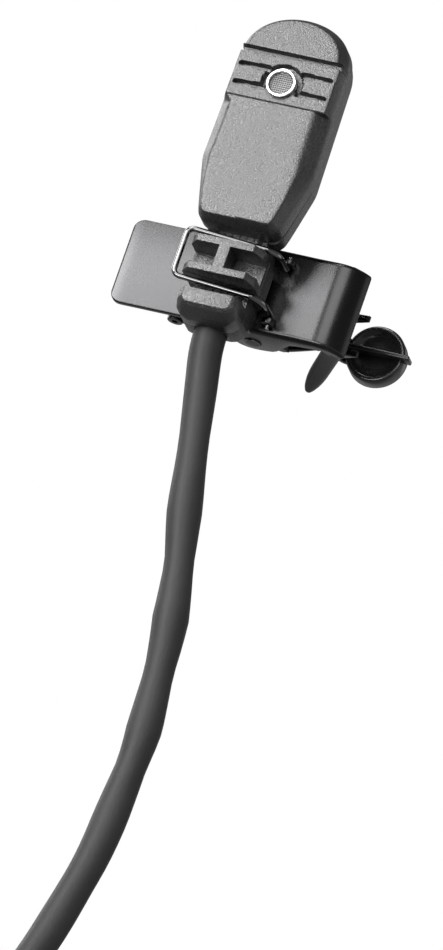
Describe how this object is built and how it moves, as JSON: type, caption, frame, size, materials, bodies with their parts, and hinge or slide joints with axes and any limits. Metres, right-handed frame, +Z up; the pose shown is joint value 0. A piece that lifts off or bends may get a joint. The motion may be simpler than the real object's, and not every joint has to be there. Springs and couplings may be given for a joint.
{
  "type": "lavalier microphone",
  "caption": "Clip-on lavalier microphone: a flat moulded head held by a wire bail on a sprung metal clothing clip, with a coiled cord ending in a stereo jack plug.",
  "frame": {"origin": "on the cloth face of the clip plate, on the microphone's centre line, at the plate's mid height", "axes": "+Z up the microphone, +X along the clip plate to its thumb end, +Y towards the wearer"},
  "size_m": [0.0531, 0.0198, 0.1809],
  "materials": {
    "moulding": "fine spark-eroded texture, black",
    "port_metal": "bright turned metal",
    "port_gauze": "fine woven-look steel gauze",
    "port_cloth": "black acoustic felt",
    "seal_rubber": "matt rubber",
    "can_metal": "drawn aluminium",
    "stack_brass": "turned brass",
    "film": "metallised polymer film",
    "stack_plastic": "off-white insulating plastic",
    "plate_metal": "etched metal with a polymer coating",
    "transistor": "moulded black epoxy",
    "board": "green solder resist",
    "lead_red": "red insulation",
    "lead_bare": "lapped copper braid, twisted",
    "crimp": "pressed aluminium",
    "clip_black": "satin black plating",
    "pin_steel": "dark steel",
    "jaw_black": "satin black plating",
    "pad_gloss": "glossy black",
    "spring_steel": "bright spring wire",
    "bail_black": "glossy black plating",
    "cord_jacket": "matt dark grey jacket",
    "tie": "black nylon strap",
    "boot_rubber": "matt rubber",
    "cover_metal": "satin nickel",
    "contact_gold": "gold plated contact",
    "plug_plastic": "black insulating plastic",
    "plug_tin": "tinned tag"
  },
  "bodies": {
    "clip_body": {"front_shell": "moulding", "rear_shell": "moulding", "port_ring": "port_metal", "port_mesh": "port_gauze", "port_felt": "port_cloth", "capsule_boot": "seal_rubber", "capsule_can": "can_metal", "diaphragm_ring": "stack_brass", "diaphragm": "film", "spacer_ring": "stack_plastic", "backplate": "plate_metal", "capsule_insulator": "stack_plastic", "contact_ring": "stack_brass", "jfet": "transistor", "capsule_board": "board", "signal_wire": "lead_red", "ground_wire": "lead_bare", "crimp_ring": "crimp", "clip_plate": "clip_black", "pivot_pin": "pin_steel", "torsion_spring": "spring_steel", "cord_run": "cord_jacket", "cord_coil": "cord_jacket", "cord_tail": "cord_jacket", "cable_tie": "tie", "plug_boot": "boot_rubber", "plug_cover": "cover_metal", "plug_sleeve": "contact_gold", "plug_ring": "contact_gold", "plug_tip": "contact_gold", "plug_insulators": "plug_plastic", "plug_terminals": "plug_tin"},
    "jaw": {"jaw_lever": "jaw_black", "thumb_pad": "pad_gloss"},
    "bail": {"bail_wire": "bail_black"}
  },
  "joints": [
    {"name": "jaw_open", "type": "hinge", "parent": "clip_body", "child": "jaw", "pos_m": [0.0022, 0.0022, 0], "axis": [0, 0, -1], "range_deg": [0, 20], "stiffness_Nm_per_rad": 0.02, "springref_deg": -68.75, "deforming": ["torsion_spring"]},
    {"name": "bail_swing", "type": "hinge", "parent": "clip_body", "child": "bail", "pos_m": [0.0042, -0.0012, 0], "axis": [0, 0, 1], "range_deg": [0, 100]}
  ]
}
